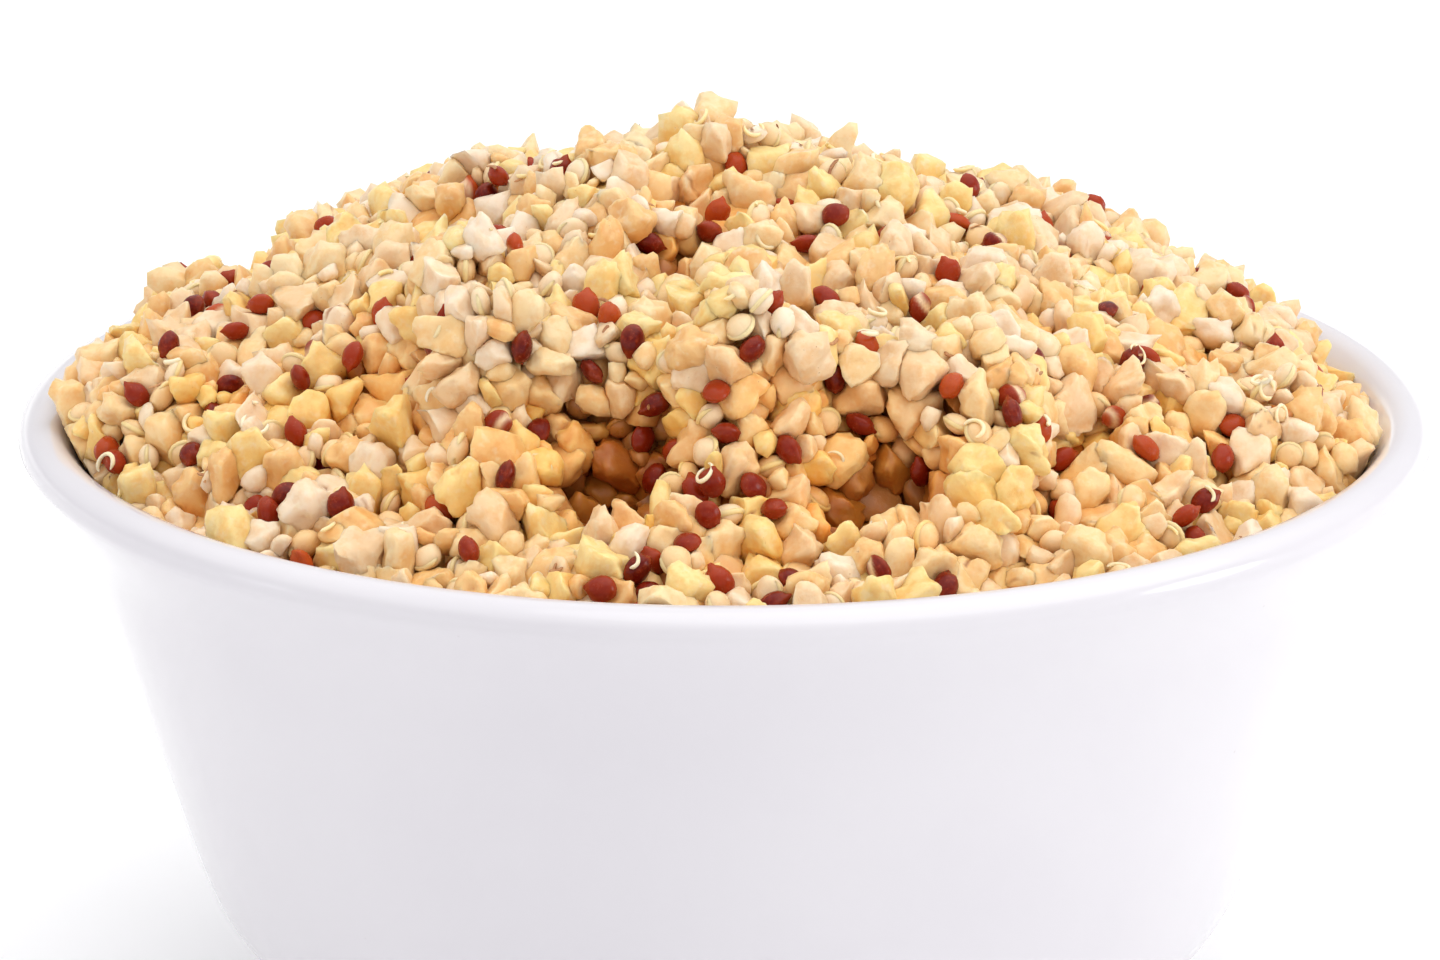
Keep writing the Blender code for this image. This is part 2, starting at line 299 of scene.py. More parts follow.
def red_quinoa_material():
    """Cooked red quinoa: a dark red glossy skin, redder on its seam, pale where it has split."""
    made, tree, shader = new_material("quinoa_red")
    tone, shelter, mark, bulge = grain_values(tree)
    skin = ramp(tree, tone, [(0.0, (0.11, 0.004, 0.002)), (0.4, (0.22, 0.014, 0.004)),
                             (0.75, (0.34, 0.032, 0.006)), (1.0, (0.50, 0.080, 0.012))])
    streaks = noise_of(tree, 0.5, 3.0, 0.6)
    colour = mix(tree, between(tree, streaks, 0.45, 0.7, 0.0, 0.45), skin, (0.36, 0.045, 0.012))
    colour = mix(tree, between(tree, bulge, 0.9, 1.12, 0.0, 0.3), colour, (0.42, 0.07, 0.015))
    colour = mix(tree, mark, colour, (0.80, 0.60, 0.38))
    # Painted shade: the seed's colour is darkened by its shelter from the sky.
    colour = mix(tree, shelter, colour, (0.70, 0.50, 0.40), "MULTIPLY")
    tree.links.new(colour, shader.inputs["Base Color"])
    tree.links.new(between(tree, streaks, 0.3, 0.7, 0.16, 0.30), shader.inputs["Roughness"])
    shader.inputs["Specular IOR Level"].default_value = 0.20
    scatter_light(shader, 0.2, (0.9, 0.2, 0.1))
    bump(tree, shader, noise_of(tree, 0.3, 2.0), 0.3, 0.06)
    return made


def germ_material():
    made, tree, shader = new_material("quinoa_germ")
    tone, shelter, mark, bulge = grain_values(tree)
    colour = ramp(tree, tone, [(0.0, (0.91, 0.68, 0.32)), (1.0, (0.94, 0.80, 0.56))])
    patches = noise_of(tree, 0.6, 2.0)
    colour = mix(tree, between(tree, patches, 0.5, 0.75, 0.0, 0.4), colour, (0.93, 0.72, 0.32))
    tree.links.new(colour, shader.inputs["Base Color"])
    tree.links.new(between(tree, patches, 0.3, 0.7, 0.3, 0.42), shader.inputs["Roughness"])
    scatter_light(shader, 0.4, (0.8, 0.7, 0.5))
    return made


def bran_material():
    made, tree, shader = new_material("bran")
    tone, shelter, mark, bulge = grain_values(tree)
    colour = ramp(tree, tone, [(0.0, (0.26, 0.075, 0.025)), (1.0, (0.55, 0.25, 0.09))])
    streaks = noise_of(tree, 0.3, 2.0)
    colour = mix(tree, between(tree, streaks, 0.4, 0.7, 0.0, 0.6), colour, (0.62, 0.36, 0.16))
    tree.links.new(colour, shader.inputs["Base Color"])
    tree.links.new(between(tree, streaks, 0.3, 0.7, 0.4, 0.6), shader.inputs["Roughness"])
    return made


def core_material():
    """What shows deep between the grains: more of the same, its colour darkened and warmed as painted shade.
    """
    made, tree, shader = new_material("heap_core")
    patches = noise_of(tree, 2.4, 3.0, 0.6)
    # Random tones, darker than the grains' own, then multiplied darker again: painted shade for the deep
    # heap.
    colour = ramp(tree, patches, [(0.35, (0.70, 0.36, 0.10)), (0.55, (0.82, 0.50, 0.19)),
                                  (0.7, (0.88, 0.62, 0.32))])
    tree.links.new(mix(tree, 1.0, colour, (0.80, 0.48, 0.20), "MULTIPLY"), shader.inputs["Base Color"])
    tree.links.new(between(tree, patches, 0.3, 0.7, 0.4, 0.6), shader.inputs["Roughness"])
    scatter_light(shader, 0.3, (1.4, 0.9, 0.4))
    bump(tree, shader, noise_of(tree, 0.6, 3.0), 0.5, 0.2)
    return made


def glaze_material():
    """White glaze: glossy, very slightly uneven, with a few pinpoint specks."""
    made, tree, shader = new_material("bowl_glaze")
    cloud = noise_of(tree, 24.0, 2.0)
    colour = ramp(tree, cloud, [(0.35, (0.665, 0.645, 0.682)), (0.65, (0.685, 0.666, 0.700))])
    specks = add(tree, "ShaderNodeTexVoronoi", feature="F1")
    specks.inputs["Scale"].default_value = 1.0 / (11.0 * MM)
    place = tree.nodes.new("ShaderNodeTexCoord")
    tree.links.new(place.outputs["Object"], specks.inputs["Vector"])
    colour = mix(tree, between(tree, specks.outputs["Distance"], 0.016, 0.008, 0.0, 0.35),
                 colour, (0.45, 0.38, 0.38))
    tree.links.new(colour, shader.inputs["Base Color"])
    tree.links.new(between(tree, cloud, 0.3, 0.7, 0.10, 0.16), shader.inputs["Roughness"])
    shader.inputs["Coat Weight"].default_value = 0.3
    shader.inputs["Coat Roughness"].default_value = 0.06
    scatter_light(shader, 0.15, (1.5, 1.4, 1.5))
    bump(tree, shader, noise_of(tree, 9.0, 2.0), 0.08, 0.25)
    return made


def floor_material():
    made, tree, shader = new_material("studio_floor")
    cloud = noise_of(tree, 60.0, 2.0)
    tree.links.new(ramp(tree, cloud, [(0.3, (0.945, 0.945, 0.95)), (0.7, (0.96, 0.96, 0.965))]),
                   shader.inputs["Base Color"])
    shader.inputs["Roughness"].default_value = 0.6
    return made


# ---- Grain shapes -----------------------------------------------------------------------------------
# A shape is its points, its faces of four, where each face corner lies on the grain's flat layout, and
# for each point the mark and the bulge that its material reads.


def cube_ball(cells):
    """A ball of radius 1 from a cube's six sides: points, faces and layout."""
    sides = [((1, 0, 0), (0, 1, 0), (0, 0, 1)), ((-1, 0, 0), (0, 0, 1), (0, 1, 0)),
             ((0, 1, 0), (0, 0, 1), (1, 0, 0)), ((0, -1, 0), (1, 0, 0), (0, 0, 1)),
             ((0, 0, 1), (1, 0, 0), (0, 1, 0)), ((0, 0, -1), (0, 1, 0), (1, 0, 0))]
    index, points, faces, layout = {}, [], [], []
    for side, (out, across, along) in enumerate(sides):
        out, across, along = Vector(out), Vector(across), Vector(along)
        numbers = {}
        for i in range(cells + 1):
            for j in range(cells + 1):
                s = math.tan((2.0 * i / cells - 1.0) * math.pi / 4.0)
                t = math.tan((2.0 * j / cells - 1.0) * math.pi / 4.0)
                place = out + across * s + along * t
                key = tuple(round(c, 5) for c in place)
                if key not in index:
                    index[key] = len(points)
                    points.append(place.normalized())
                numbers[i, j] = index[key]
        for i in range(cells):
            for j in range(cells):
                corners = ((i, j), (i + 1, j), (i + 1, j + 1), (i, j + 1))
                faces.append([numbers[c] for c in corners])
                layout.append([((side % 3 + 0.04 + 0.92 * a / cells) / 3.0,
                                (side // 3 + 0.04 + 0.92 * b / cells) / 2.0) for a, b in corners])
    return np.array(points), np.array(faces), np.array(layout)


def random_directions(count):
    found = RANDOM.normal(size=(count, 3))
    return found / np.linalg.norm(found, axis=1)[:, None]


def wavy(points, size, height, offset):
    """A small smooth unevenness for each point."""
    return np.array([noise.noise(Vector(p) / size + offset) for p in points]) * height


def bulgur_shape(ball, blocky, cuts):
    """One cracked and cooked grain: a rounded block, cut by a few planes, dented, and a little wavy."""
    points, faces, layout = ball
    power = RANDOM.uniform(2.0, blocky)
    points = points / (np.abs(points) ** power).sum(1)[:, None] ** (1.0 / power)
    sides = np.array([RANDOM.uniform(1.0, 1.5), RANDOM.uniform(0.8, 1.08), RANDOM.uniform(0.55, 0.9)])
    points = points * sides
    for direction in random_directions(cuts):
        reach = (points @ direction).max()
        over = points @ direction - reach * RANDOM.uniform(0.42, 0.8)
        soft = 0.5 * (over + np.sqrt(over * over + 0.004))
        points = points - soft[:, None] * direction * 0.96
    for direction in random_directions(RANDOM.integers(1, 4)):
        centre = direction * np.linalg.norm(points, axis=1).mean()
        near = np.exp(-((points - centre) ** 2).sum(1) / RANDOM.uniform(0.05, 0.25))
        points = points - near[:, None] * direction * RANDOM.uniform(0.10, 0.30)
    offset = Vector(RANDOM.uniform(0, 50, 3))
    points = points * (1.0 + wavy(points, 0.8, 0.2, offset) + wavy(points, 0.34, 0.1, offset))[:, None]
    points = points - points.mean(0)
    points = points / np.linalg.norm(points, axis=1).mean()
    mark = np.zeros(len(points))
    if RANDOM.random() < 0.25:
        along, across = random_directions(2)
        line = np.exp(-((points @ across) / 0.12) ** 2) * (points @ np.cross(along, across) > 0.3)
        mark = line * RANDOM.uniform(0.5, 1.0)
        points = points * (1.0 - 0.12 * line)[:, None]
    return points, faces, layout, mark, np.linalg.norm(points, axis=1)


def ring(radius, thickness, start, end, steps, around, squash=1.0, rise=0.0):
    """A bent thread with tapered ends: points, faces and layout."""
    points, faces, layout = [], [], []
    for i in range(steps + 1):
        share = i / steps
        angle = start + (end - start) * share
        width = thickness * max(0.12, min(1.0, math.sin(math.pi * share) * 2.6)) ** 0.5
        for j in range(around):
            turn = math.tau * j / around
            out = radius + width * math.cos(turn)
            points.append((out * math.cos(angle), out * math.sin(angle) * squash,
                           width * math.sin(turn) + rise * (share - 0.5)))
    for i in range(steps):
        for j in range(around):
            k = (j + 1) % around
            faces.append([i * around + j, (i + 1) * around + j, (i + 1) * around + k, i * around + k])
            layout.append([(i / steps, j / around), ((i + 1) / steps, j / around),
                           ((i + 1) / steps, (j + 1) / around), (i / steps, (j + 1) / around)])
    for i in (0, steps):
        middle = np.mean(points[i * around:(i + 1) * around], axis=0)
        points.append(tuple(middle))
        for j in range(0, around, 2):
            corners = [len(points) - 1, i * around + (j + 2) % around, i * around + j + 1, i * around + j]
            faces.append(corners if i == 0 else corners[:1] + corners[:0:-1])
            layout.append([(0.0, 0.0), (0.01, 0.0), (0.01, 0.01), (0.0, 0.01)])
    return np.array(points), np.array(faces), np.array(layout)


def white_quinoa_shape(ball, ring_steps):
    """A flat round seed with its germ lying round its edge, sometimes standing off at one end."""
    points, faces, layout = ball
    body = points * np.array([0.98, 0.98, RANDOM.uniform(0.60, 0.78)])
    offset = Vector(RANDOM.uniform(0, 50, 3))
    body = body * (1.0 + wavy(body, 0.7, 0.10, offset))[:, None]
    radius = np.linalg.norm(body, axis=1)
    mark = np.zeros(len(body))
    if ring_steps == 0:
        return body, faces, layout, np.exp(-(points[:, 2] / 0.25) ** 2), radius
    start = RANDOM.uniform(0, math.tau)
    germ, germ_faces, germ_layout = ring(RANDOM.uniform(0.90, 0.97), RANDOM.uniform(0.17, 0.22), start,
                                         start + math.radians(RANDOM.uniform(230, 330)), ring_steps, 6,
                                         rise=RANDOM.uniform(-0.3, 0.3))
    layout = layout * np.array([1.0, 0.8])
    germ_layout = germ_layout * np.array([1.0, 0.18]) + np.array([0.0, 0.82])
    return (np.vstack([body, germ]), np.vstack([faces, germ_faces + len(body)]),
            np.vstack([layout, germ_layout]), np.concatenate([mark, np.ones(len(germ))]),
            np.concatenate([radius, np.ones(len(germ))]))


def red_quinoa_shape(ball, split):
    """A flattened seed with a groove round it, a germ ridge, and a small beak at one end."""
    points, faces, layout = ball
    body = points * np.array([1.12, 0.92, RANDOM.uniform(0.62, 0.80)])
    height = points[:, 2]
    ridge = np.exp(-((height - 0.04) / 0.16) ** 2) - 0.9 * np.exp(-((height - 0.36) / 0.12) ** 2)
    body = body * (1.0 + 0.07 * ridge)[:, None]
    beak = np.exp(-((points - np.array([0.97, 0.22, 0.0])) ** 2).sum(1) / 0.05)
    body = body + beak[:, None] * np.array([0.26, 0.14, 0.0])
    pinch = np.exp(-((points - np.array([0.95, -0.3, 0.0])) ** 2).sum(1) / 0.06)
    body = body - pinch[:, None] * np.array([0.16, -0.05, 0.0])
    offset = Vector(RANDOM.uniform(0, 50, 3))
    body = body * (1.0 + wavy(body, 0.6, 0.06, offset))[:, None]
    mark = np.zeros(len(body))
    if split:
        gap = np.exp(-((points @ random_directions(1)[0] - 0.55) / 0.22) ** 2)
        mark = np.clip(gap * 1.3, 0, 1)
        body = body * (1.0 - 0.16 * gap)[:, None]
    return body, faces, layout, mark, np.linalg.norm(body, axis=1) / 0.98


def thread_shape():
    """A germ that has come loose: a curl, an open hook or a short bent thread."""
    start = RANDOM.uniform(0, math.tau)
    sweep = math.radians(RANDOM.choice([80, 140, 220, 280]) * RANDOM.uniform(0.85, 1.15))
    radius = RANDOM.uniform(0.8, 1.15) if sweep > 2.0 else RANDOM.uniform(1.3, 1.9)
    points, faces, layout = ring(radius, RANDOM.uniform(0.16, 0.24), start, start + sweep, 16, 6,
                                 RANDOM.uniform(0.7, 1.0), RANDOM.uniform(-0.6, 0.6))
    points = points - points.mean(0)
    return points, faces, layout, np.zeros(len(points)), np.ones(len(points))


def bran_shape():
    """A thin curved sliver of bran."""
    points, faces, layout = ring(RANDOM.uniform(1.2, 2.2), 0.16, 0.0, RANDOM.uniform(0.7, 1.2), 8, 6)
    points = (points - points.mean(0)) * np.array([1.0, 1.0, 0.35])
    return points, faces, layout, np.zeros(len(points)), np.ones(len(points))


# ---- The heap's outline -----------------------------------------------------------------------------


class Outline:
    """The CAD heap's outside: random places on its top, and how near a place is to its sides."""

    def __init__(self, node):
        mesh = node.data
        points = [vert.co / MM for vert in mesh.vertices]
        top = [list(face.vertices) for face in mesh.polygons if face.normal.z > 0.03]
        sides = [list(face.vertices) for face in mesh.polygons if face.normal.z <= 0.03]
        self.top = BVHTree.FromPolygons(points, top)
        self.sides = BVHTree.FromPolygons(points, sides)
        corners = np.array([[points[k][:] for k in face[:3]] for face in top])
        self.first = corners[:, 0]
        self.edges = corners[:, 1:] - corners[:, :1]
        normals = np.cross(self.edges[:, 0], self.edges[:, 1])
        areas = np.linalg.norm(normals, axis=1)
        self.normals = normals / areas[:, None]
        self.shares = areas / areas.sum()

    def random_places(self, count):
        """Places spread evenly over the top, and the outward direction at each."""
        chosen = RANDOM.choice(len(self.shares), size=count, p=self.shares)
        a, b = RANDOM.random((2, count))
        over = a + b > 1.0
        a[over], b[over] = 1.0 - a[over], 1.0 - b[over]
        places = self.first[chosen] + a[:, None] * self.edges[chosen, 0] + b[:, None] * self.edges[chosen, 1]
        return places, self.normals[chosen]

    def shelter(self, place, normal):
        """How much of the sky the heap itself hides from a place on it, from 0 to 1: it sets the grains'
        painted shade.
        """
        start = place + normal * 0.8
        hidden = sum(self.top.ray_cast(start, out, 30.0)[0] is not None for out in SKY_DIRECTIONS)
        return hidden / len(SKY_DIRECTIONS)

    def depths(self, points):
        """How far points are under the heap's outline; past it is less than 0."""
        found = []
        for point in points:
            near, normal, _, distance = self.top.find_nearest(Vector(point))
            found.append(distance if (near - Vector(point)).dot(normal) > 0.0 else -distance)
        return np.array(found)

    def wall(self, place):
        """The direction of the nearest side, and how far it is; under 0 is past it."""
        near, normal, _, _ = self.sides.find_nearest(place)
        return normal, (near - place).dot(normal)


SKY_DIRECTIONS = [Vector((math.cos(turn) * math.cos(rise), math.sin(turn) * math.cos(rise), math.sin(rise)))
                  for rise, count in ((0.35, 8), (0.75, 7), (1.2, 4))
                  for turn in (math.tau * (k + rise) / count for k in range(count))]


HOLLOW_SHADE = 0.6            # how much of the sky a named hollow hides, for the painted shade
FULL_HOLLOW = 3.6             # a hollow this deep counts in full
HOLLOW_MIDDLE = 0.8           # the part of a hollow's reach that is in shade
DEPTH_SHADE = 0.55            # how much of the sky the grains above a grain hide, for the painted shade
SINK_OPEN = 0.6               # the part of the sink that doesn't count as depth in the painted shade


def hollowness(place):
    """How far into one of the named hollows a place is, from 0 to about 1."""
    return max(depth / FULL_HOLLOW
               * math.exp(-((place.x - x) ** 2 + (place.y - y) ** 2) / (HOLLOW_MIDDLE * reach) ** 2)
               for x, y, reach, depth in HOLLOWS.values())


def sink(place):
    """How far clumps, gaps and hollows set the outermost grains back from the outline at a place."""
    clump = noise.noise(place / CLUMP_SIZE + Vector((3.1, 8.2, 1.7)))
    gap = noise.noise(place / GAP_SIZE + Vector((9.4, 2.6, 5.5)))
    total = CLUMP_SINK * max(0.0, clump + 0.05) ** 0.8 + GAP_SINK * max(0.0, gap - 0.08)
    for x, y, reach, depth in HOLLOWS.values():
        total += depth * math.exp(-((place.x - x) ** 2 + (place.y - y) ** 2) / reach ** 2)
    return total


# ---- Packing ----------------------------------------------------------------------------------------

# kind: share of the grains, smallest and largest radius, whether the grain is firm
KINDS = {
    "bulgur_cream": (0.18, 1.45, 2.40, 0),
    "bulgur_beige": (0.15, 1.45, 2.30, 0),
    "bulgur_yellow": (0.19, 1.50, 2.50, 0),
    "bulgur_amber": (0.09, 1.40, 2.20, 0),
    "bulgur_white": (0.11, 1.35, 2.10, 0),
    "quinoa_white": (0.15, 1.20, 1.46, 1),
    "quinoa_red": (0.10, 1.08, 1.28, 1),
}
# layers: how deep it starts and ends under the outermost grains, tries, size of its grains
LAYERS = (
    (-0.4, 0.0, 200, 0.80),
    (0.0, 1.2, 26000, 1.0),
    (0.4, 2.0, 16000, 0.92),
    (0.2, 1.6, 6000, 0.52),
    (2.0, 3.6, 14000, 1.0),
    (3.4, 5.2, 10000, 1.0),
)


class Packing:
    """Grains that keep clear of each other, found through a grid of cells."""

    def __init__(self, cell):
        self.cell = cell
        self.cells = {}
        self.grains = []

    def near(self, place):
        x, y, z = (int(math.floor(c / self.cell)) for c in place)
        for i in (x - 1, x, x + 1):
            for j in (y - 1, y, y + 1):
                for k in (z - 1, z, z + 1):
                    yield from self.cells.get((i, j, k), ())

    def fits(self, place, radius, firm):
        for other in self.near(place):
            closest = CLOSENESS[firm + other["firm"]] * (radius + other["radius"])
            if (other["place"] - place).length < closest:
                return False
        return True

    def put(self, grain):
        key = tuple(int(math.floor(c / self.cell)) for c in grain["place"])
        self.cells.setdefault(key, []).append(grain)
        self.grains.append(grain)


def places_on(core, count):
    """Random places on the core's top, steep parts too, and the outward direction at each."""
    faces = core.data.polygons[:CORE_GRID * CORE_GRID]
    areas = np.array([face.area for face in faces])
    for number in RANDOM.choice(len(faces), size=count, p=areas / areas.sum()):
        face = faces[number]
        corners = np.array([core.data.vertices[k].co / MM for k in face.vertices])
        place = RANDOM.dirichlet((1.0, 1.0, 1.0, 1.0)) @ corners
        yield Vector(place), face.normal if face.normal.z > 0.0 else -face.normal


def pack_grains(outline, core_places):
    """Throws grains into the shell under the outline, outermost first, and keeps those that fit.

    What the outline leaves bare gets grains that lie on the core.
    """
    names = list(KINDS)
    shares = np.array([KINDS[name][0] for name in names])
    soft = np.array([KINDS[name][0] * (KINDS[name][3] == 0) for name in names])
    packing = Packing(CELL)

    def try_grain(kind, radius, place, normal, depth):
        firm = KINDS[kind][3]
        middle = place - normal * (radius * SETTLED + sink(place) + depth)
        wall = outline.wall(middle)[1]
        if wall >= radius * (1.0 if firm else WALL_PRESS) and packing.fits(middle, radius, firm):
            packing.put({"kind": kind, "place": middle, "radius": radius, "firm": firm, "depth": depth,
                         "shelter": outline.shelter(place, normal) + HOLLOW_SHADE * hollowness(place)})

    for x, y in RED_SEEDS:
        place, normal, _, _ = outline.top.ray_cast(Vector((x, y, 200.0)), Vector((0, 0, -1)))
        try_grain("quinoa_red", RANDOM.uniform(*RED_RADII), place, normal, RED_DEPTH)
    for low, high, count, size in LAYERS:
        places, normals = outline.random_places(count)
        allowed = soft if size < CRUMBS_BELOW else shares
        kinds = RANDOM.choice(len(names), size=count, p=allowed / allowed.sum())
        spread = RANDOM.random(count) ** SMALL_SHARE
        depths = RANDOM.uniform(low, high, count)
        for place, normal, kind, share, depth in zip(places, normals, kinds, spread, depths):
            if names[kind] == "quinoa_red" and place[1] < RED_FRONT and share < RED_LEFT_OUT:
                continue
            _, smallest, largest, firm = KINDS[names[kind]]
            radius = (smallest + (largest - smallest) * share) * (1.0 if firm else size)
            try_grain(names[kind], radius, Vector(place), Vector(normal), depth)
    for place, normal in core_places:
        kind = names[RANDOM.choice(len(names), p=soft / soft.sum())]
        radius = RANDOM.uniform(*FILL_RADII)
        middle = place + normal * FILL_LIFT
        if outline.wall(middle)[1] >= radius * WALL_PRESS and packing.fits(middle, radius, 0):
            packing.put({"kind": kind, "place": middle, "radius": radius, "firm": 0, "depth": FILL_DEPTH,
                         "shelter": outline.shelter(place, normal) + HOLLOW_SHADE * hollowness(place)})
    return packing


def limits_of(grain, packing, outline):
    """The flat sides that a soft grain's neighbours and the bowl's wall press on it: directions, reaches."""
    directions, reaches = [], []
    for other in packing.near(grain["place"]):
        apart = other["place"] - grain["place"]
        distance = apart.length
        if other is grain or distance > NEIGHBOUR_REACH * (grain["radius"] + other["radius"]):
            continue
        if other["firm"]:
            reach = distance - other["radius"] * FIRM_PRESS
        else:
            reach = distance * grain["radius"] / (grain["radius"] + other["radius"]) + SOFT_OVERLAP
        directions.append(apart / distance)
        reaches.append(reach)
    normal, wall = outline.wall(grain["place"])
    directions.append(normal)
    reaches.append(wall + WALL_CLEAR)
    return np.array(directions), reaches


def pressed(points, limits):
    """A grain's points after its limits flatten it."""
    for direction, reach in zip(*limits):
        over = points @ direction - reach
        points = points - (0.5 * (over + np.sqrt(over * over + ROUNDING)))[:, None] * direction
    offset = Vector(RANDOM.uniform(0, 50, 3))
    dents = 1.0 + wavy(points, *SMALL_DENTS, offset) + wavy(points, *LARGE_DENTS, offset)
    return points * dents[:, None]


# ---- Pieces -----------------------------------------------------------------------------------------


def make_mesh(name, points, faces, layout, values, material):
    mesh = bpy.data.meshes.new(name)
    mesh.from_pydata((points * MM).tolist(), [], faces.tolist())
    mesh.shade_smooth()
    flat = mesh.uv_layers.new(name="OFBake")
    flat.data.foreach_set("uv", layout.reshape(-1))
    grain = mesh.attributes.new("grain", "FLOAT_COLOR", "POINT")
    grain.data.foreach_set("color", values.reshape(-1))
    mesh.materials.append(material)
    piece = bpy.data.objects.new(name, mesh)
    bpy.context.scene.collection.objects.link(piece)
    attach(piece, "root")
    return piece


def join_grains(name, grains, material, outline):
    """One piece of many grains. Each grain has its shape, and perhaps its turn and its limits."""
    points, faces, layout, values = [], [], [], []
    cells = math.ceil(math.sqrt(len(grains)))
    total = 0
    for number, grain in enumerate(grains):
        shape, shape_faces, shape_layout, mark, bulge = grain["shape"]
        if "turn" in grain:
            turn = np.array(grain["turn"])
        else:
            turn = np.array(Euler(RANDOM.uniform(0, math.tau, 3)).to_matrix())
        placed = shape @ turn.T * grain["radius"]
        if "limits" in grain:
            placed = pressed(placed * SWELL, grain["limits"])
            bulge = np.linalg.norm(placed, axis=1) / grain["radius"]
        placed = placed + np.array(grain["place"])
        points.append(placed)
        # Each point's shelter, from its depth under the outline and its grain's hidden sky, sets its painted
        # shade.
        low, high = PAINTED_SHADE_DEPTHS
        under = outline.depths(placed) - SINK_OPEN * sink(grain["place"])
        shelter = DEPTH_SHADE * np.clip((under - low) / (high - low), 0.0, 1.0) + grain["shelter"]
        faces.append(shape_faces + total)
        cell = np.array([number % cells, number // cells])
        layout.append((cell + 0.03 + 0.94 * shape_layout) / cells)
        tone = np.full(len(shape), RANDOM.random())
        values.append(np.column_stack([tone, np.clip(shelter, 0.0, 1.0), mark, bulge]))
        total += len(shape)
    return make_mesh(name, np.vstack(points), np.vstack(faces), np.vstack(layout), np.vstack(values),
                     material)


def cells_of(grain):
    """How fine a grain's mesh is: finest where it is outermost and in front, plain where it is buried."""
    if grain["radius"] < CRUMB_RADIUS and not grain["firm"]:
        return 3 if grain["place"].y < 0.0 else 2
    if grain["depth"] < OUTER_DEPTH:
        return 7 if grain["place"].y < NEAREST_Y else 6 if grain["place"].y < 0.0 else 4
    if grain["depth"] < BURIED_DEPTH:
        return 5 if grain["place"].y < NEAR_Y else 3
    return 2


BULGUR_LOOKS = {
    # kind: squareness, cuts, tones from dark to light, thin places, deep patches
    "bulgur_cream": (4.0, 4, ((0.89, 0.59, 0.28), (0.91, 0.64, 0.33), (0.93, 0.70, 0.40)),
                     (0.94, 0.74, 0.46), (0.88, 0.50, 0.18)),
    "bulgur_beige": (3.6, 5, ((0.83, 0.55, 0.30), (0.86, 0.60, 0.36), (0.89, 0.65, 0.42)),
                     (0.92, 0.71, 0.48), (0.83, 0.47, 0.19)),
    "bulgur_yellow": (5.5, 5, ((0.92, 0.60, 0.19), (0.93, 0.65, 0.25), (0.94, 0.71, 0.32)),
                      (0.95, 0.76, 0.38), (0.90, 0.49, 0.11)),
    "bulgur_amber": (3.2, 3, ((0.85, 0.45, 0.15), (0.88, 0.52, 0.20), (0.91, 0.59, 0.26)),
                     (0.93, 0.65, 0.33), (0.81, 0.37, 0.10)),
    "bulgur_white": (3.0, 4, ((0.87, 0.64, 0.44), (0.90, 0.69, 0.50), (0.92, 0.75, 0.58)),
                     (0.94, 0.80, 0.66), (0.86, 0.57, 0.31)),
}


def make_grains(outline, core):
    packing = pack_grains(outline, places_on(core, FILL_TRIES))
    balls = {cells: cube_ball(cells) for cells in (2, 3, 4, 5, 6, 7)}
    families = {}
    for grain in packing.grains:
        kind, cells = grain["kind"], cells_of(grain)
        if (kind, cells) not in families:
            if kind == "quinoa_white":
                made = [white_quinoa_shape(balls[min(cells, 5)], 14 if cells > 3 else 0) for _ in range(14)]
            elif kind == "quinoa_red":
                made = [red_quinoa_shape(balls[cells], cells > 3 and k % 5 == 0) for k in range(15)]
            else:
                blocky, cuts = BULGUR_LOOKS[kind][:2]
                made = [bulgur_shape(balls[cells], blocky, cuts) for _ in range(30)]
            families[kind, cells] = made
        family = families[kind, cells]
        grain["shape"] = family[RANDOM.integers(len(family))]
        if not grain["firm"]:
            grain["limits"] = limits_of(grain, packing, outline)
    for kind in KINDS:
        if kind == "quinoa_white":
            material = white_quinoa_material()
        elif kind == "quinoa_red":
            material = red_quinoa_material()
        else:
            _, _, (dark, middle, light), thin, deep = BULGUR_LOOKS[kind]
            material = bulgur_material(kind, [(0.0, dark), (0.5, middle), (1.0, light)], thin, deep)
        join_grains(kind, [grain for grain in packing.grains if grain["kind"] == kind], material, outline)
    return packing.grains


def make_loose_bits(outline, grains):
    """Loose germs and bran slivers on top of the outermost grains."""
    tree = kdtree.KDTree(len(grains))
    for number, grain in enumerate(grains):
        tree.insert(grain["place"], number)
    tree.balance()
    for name, count, shapes, material, lift in (
            ("germ_threads", 150, [thread_shape() for _ in range(18)], germ_material(), 0.92),
            ("bran_slivers", 90, [bran_shape() for _ in range(8)], bran_material(), 0.95)):
        places, normals = outline.random_places(count)
        bits = []
        for place, normal in zip(places, normals):
            _, number, _ = tree.find(Vector(place))
            grain = grains[number]
            out = (Vector(normal) + Vector(RANDOM.uniform(-0.5, 0.5, 3))).normalized()
            spin = Matrix.Rotation(RANDOM.uniform(0, math.tau), 3, "Z")
            turn = out.to_track_quat("Z", "Y").to_matrix() @ spin
            bits.append({"place": grain["place"] + out * (grain["radius"] * lift), "radius": 1.0,
                         "shape": shapes[RANDOM.integers(len(shapes))], "turn": turn, "shelter": 0.0})
        join_grains(name, bits, material, outline)


def core_heights(outline, reach):
    """The core's heights on a square grid: what is left under balls as deep as the grains and hollows."""
    steps = math.ceil(reach)
    size = 2 * steps + 1
    tops, depths = np.zeros((size, size)), np.zeros((size, size))
    for i in range(size):
        for j in range(size):
            place = Vector((i - steps, j - steps, 200.0))
            hit = outline.top.ray_cast(place, Vector((0, 0, -1)))[0]
            if hit is None:
                hit = outline.top.find_nearest(Vector((place.x, place.y, 62.0)))[0]
            tops[i, j], depths[i, j] = hit.z, CORE_DEPTH + sink(hit)
    left = tops - depths
    widest = int(depths.max())
    for i in range(-widest, widest + 1):
        for j in range(-widest, widest + 1):
            under = np.maximum(depths ** 2 - i * i - j * j, 0.0)
            carved = np.where(under > 0.0, tops - np.sqrt(under), 1000.0)
            left = np.minimum(left, np.roll(carved, (i, j), (0, 1)))
    return left, steps


